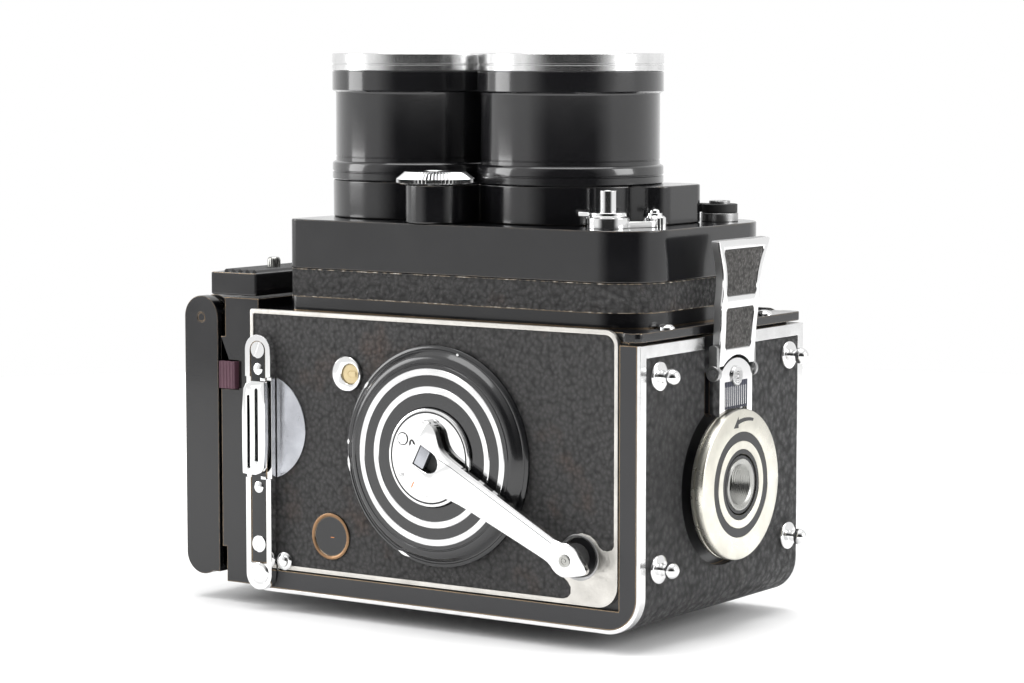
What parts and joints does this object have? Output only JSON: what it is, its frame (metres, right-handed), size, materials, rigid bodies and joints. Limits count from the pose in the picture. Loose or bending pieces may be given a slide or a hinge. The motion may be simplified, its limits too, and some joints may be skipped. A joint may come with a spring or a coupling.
{
  "type": "twin lens reflex camera",
  "caption": "Box-shaped medium-format film camera with paired lens barrels, folding finder hood, winding crank, hinged back and focusing front.",
  "frame": {"origin": "where the taking lens axis meets the plane the camera rests on, in the middle of the raised pad on its back", "axes": "+Z along the lens axes towards the subject, +X towards the bottom plate and out of the tripod socket, -Y towards the winding crank"},
  "size_m": [0.1457, 0.0931, 0.1396],
  "materials": {
    "chassis": "satin",
    "black_paint": "gloss",
    "leather": "grained",
    "chrome": "polished",
    "satin": "satin",
    "glass": "polished",
    "frosted": "matt",
    "mirror": "polished",
    "ivory": "satin",
    "plum": "ribbed",
    "black_plastic": "matt",
    "steel": "brushed"
  },
  "bodies": {
    "chassis": {"body_shell": "chassis", "front_plate": "black_paint", "front_skirt": "leather", "mirror_plate": "mirror", "ground_glass": "frosted", "crank_side_panel": "leather", "knob_side_panel": "leather", "side_trims": "satin", "crank_plate": "black_paint", "crank_plate_rings": "chrome", "counter_window": "black_plastic", "selector_ring": "chrome", "strap_plates": "chrome", "strap_screws": "chrome", "strap_guards": "chrome", "hood_base": "black_paint", "meter_block": "black_paint", "meter_cell": "frosted"},
    "front": {"front_housing": "black_paint", "shutter_cover": "black_paint", "taking_barrel": "black_paint", "viewing_barrel": "black_paint", "bayonet_rings": "chrome", "lens_glass": "glass", "shutter_unit": "chassis", "release_plate": "chrome", "sync_socket": "chrome"},
    "focus_knob": {"focus_knob": "chrome"},
    "crank_rotor": {"crank_hub": "chrome"},
    "take_up": {"take_up_spool": "black_plastic"},
    "supply": {"supply_spool": "black_plastic"},
    "upper_roller": {"upper_roller": "steel"},
    "lower_roller": {"lower_roller": "steel"},
    "crank_arm": {"crank_arm": "chrome"},
    "crank_knob": {"crank_knob": "black_plastic"},
    "upper_knob": {"upper_spool_knob": "chrome"},
    "lower_knob": {"lower_spool_knob": "chrome"},
    "selector": {"selector_plug": "ivory"},
    "strap_near": {"strap_loop_near": "chrome"},
    "strap_far": {"strap_loop_far": "chrome"},
    "release": {"release_button": "chrome"},
    "release_lock": {"release_lock": "chrome"},
    "sync_lock": {"sync_lock": "black_plastic"},
    "aperture": {"aperture_wheel": "chrome"},
    "shutter_speed": {"shutter_wheel": "chrome"},
    "door": {"back_door": "black_paint", "door_leather": "leather", "door_rim": "chrome", "feet": "chrome", "tripod_bush": "satin", "latch_bar": "chrome"},
    "latch": {"latch_lever": "chrome"},
    "disc": {"tripod_disc": "satin"},
    "pressure": {"pressure_plate": "chassis"},
    "lid": {"hood_lid": "black_paint", "magnifier": "chassis"},
    "left_leaf": {"hood_left_leaf": "chassis"},
    "right_leaf": {"hood_right_leaf": "chassis"},
    "rear_leaf": {"hood_rear_leaf": "chassis"},
    "hood_button": {"hood_button": "plum"}
  },
  "joints": [
    {"name": "focus_slide", "type": "slide", "parent": "chassis", "child": "front", "axis": [0, 0, 1], "range_m": [0, 0.0074]},
    {"name": "focus_turn", "type": "hinge", "parent": "chassis", "child": "focus_knob", "pos_m": [-0.013, 0, 0.044], "axis": [0, 1, 0], "range_deg": [0, 300]},
    {"name": "crank_spin", "type": "hinge", "parent": "chassis", "child": "crank_rotor", "pos_m": [-0.013, 0, 0.0428], "axis": [0, 1, 0], "continuous": true},
    {"name": "take_up_turn", "type": "hinge", "parent": "chassis", "child": "take_up", "pos_m": [-0.047, 0, 0.023], "axis": [0, 1, 0], "continuous": true},
    {"name": "supply_turn", "type": "hinge", "parent": "chassis", "child": "supply", "pos_m": [0.0265, 0, 0.057], "axis": [0, 1, 0], "continuous": true},
    {"name": "upper_roller_turn", "type": "hinge", "parent": "chassis", "child": "upper_roller", "pos_m": [-0.0322, 0, 0.0126], "axis": [0, 1, 0], "continuous": true},
    {"name": "lower_roller_turn", "type": "hinge", "parent": "chassis", "child": "lower_roller", "pos_m": [0.0322, 0, 0.0126], "axis": [0, 1, 0], "continuous": true},
    {"name": "crank_fold", "type": "hinge", "parent": "crank_rotor", "child": "crank_arm", "pos_m": [-0.01567, -0.0436, 0.04416], "axis": [-0.454, 0, -0.891], "range_deg": [0, 180]},
    {"name": "crank_knob_turn", "type": "hinge", "parent": "crank_arm", "child": "crank_knob", "pos_m": [0.02781, -0.041, 0.02201], "axis": [0, 1, 0], "continuous": true},
    {"name": "upper_knob_pull", "type": "slide", "parent": "chassis", "child": "upper_knob", "axis": [0, 1, 0], "range_m": [0, 0.006]},
    {"name": "lower_knob_pull", "type": "slide", "parent": "chassis", "child": "lower_knob", "axis": [0, 1, 0], "range_m": [0, 0.006]},
    {"name": "selector_turn", "type": "hinge", "parent": "chassis", "child": "selector", "pos_m": [-0.0402, -0.038, 0.0612], "axis": [0, 1, 0], "range_deg": [-45, 45]},
    {"name": "near_loop_swing", "type": "hinge", "parent": "chassis", "child": "strap_near", "pos_m": [-0.0636, -0.0417, 0.0463], "axis": [0, 0, 1], "range_deg": [0, 90]},
    {"name": "far_loop_swing", "type": "hinge", "parent": "chassis", "child": "strap_far", "pos_m": [-0.0636, 0.0417, 0.0463], "axis": [0, 0, -1], "range_deg": [0, 90]},
    {"name": "release_press", "type": "slide", "parent": "front", "child": "release", "axis": [0, 0, -1], "range_m": [0, 0.003], "stiffness_N_per_m": 400, "springref_m": -0.002},
    {"name": "release_lock_turn", "type": "hinge", "parent": "front", "child": "release_lock", "pos_m": [0.0242, -0.0205, 0.101], "axis": [0, 0, 1], "range_deg": [0, 60]},
    {"name": "sync_lock_turn", "type": "hinge", "parent": "front", "child": "sync_lock", "pos_m": [0.031, 0.02, 0.101], "axis": [0, 0, -1], "range_deg": [0, 80]},
    {"name": "aperture_turn", "type": "hinge", "parent": "front", "child": "aperture", "pos_m": [-0.0229, -0.0252, 0.109], "axis": [0, 0, 1], "range_deg": [-100, 100]},
    {"name": "shutter_speed_turn", "type": "hinge", "parent": "front", "child": "shutter_speed", "pos_m": [-0.0229, 0.0252, 0.109], "axis": [0, 0, 1], "range_deg": [-100, 100]},
    {"name": "door_swing", "type": "hinge", "parent": "chassis", "child": "door", "pos_m": [-0.0663, 0, 0.0087], "axis": [0, 1, 0], "range_deg": [0, 90]},
    {"name": "latch_swing", "type": "hinge", "parent": "door", "child": "latch", "pos_m": [0.04665, 0, 0.0638], "axis": [0, 1, 0], "range_deg": [0, 100]},
    {"name": "disc_turn", "type": "hinge", "parent": "door", "child": "disc", "pos_m": [0.047, 0, 0.03645], "axis": [1, 0, 0], "range_deg": [0, 90]},
    {"name": "pressure_press", "type": "slide", "parent": "door", "child": "pressure", "axis": [0, 0, -1], "range_m": [0, 0.0012], "stiffness_N_per_m": 600, "springref_m": -0.003},
    {"name": "lid_swing", "type": "hinge", "parent": "chassis", "child": "lid", "pos_m": [-0.0899, 0, 0.0725], "axis": [0, 1, 0], "range_deg": [0, 90]},
    {"name": "left_leaf_swing", "type": "hinge", "parent": "chassis", "child": "left_leaf", "pos_m": [-0.0846, -0.0314, 0.037], "axis": [0, 0, 1], "range_deg": [0, 90]},
    {"name": "right_leaf_swing", "type": "hinge", "parent": "chassis", "child": "right_leaf", "pos_m": [-0.0857, 0.0314, 0.037], "axis": [0, 0, -1], "range_deg": [0, 90]},
    {"name": "rear_leaf_swing", "type": "hinge", "parent": "chassis", "child": "rear_leaf", "pos_m": [-0.0868, 0, 0.01], "axis": [0, -1, 0], "range_deg": [0, 90]},
    {"name": "hood_button_press", "type": "slide", "parent": "chassis", "child": "hood_button", "axis": [0, 1, 0], "range_m": [0, 0.001], "stiffness_N_per_m": 300, "springref_m": -0.002}
  ],
  "couplings": [
    {"joint": "focus_turn", "follows": "focus_slide", "rad_per_m": 707.5},
    {"joint": "take_up_turn", "follows": "crank_spin", "ratio": 1},
    {"joint": "left_leaf_swing", "follows": "lid_swing", "ratio": 1},
    {"joint": "right_leaf_swing", "follows": "lid_swing", "ratio": 1},
    {"joint": "rear_leaf_swing", "follows": "lid_swing", "ratio": 1}
  ]
}
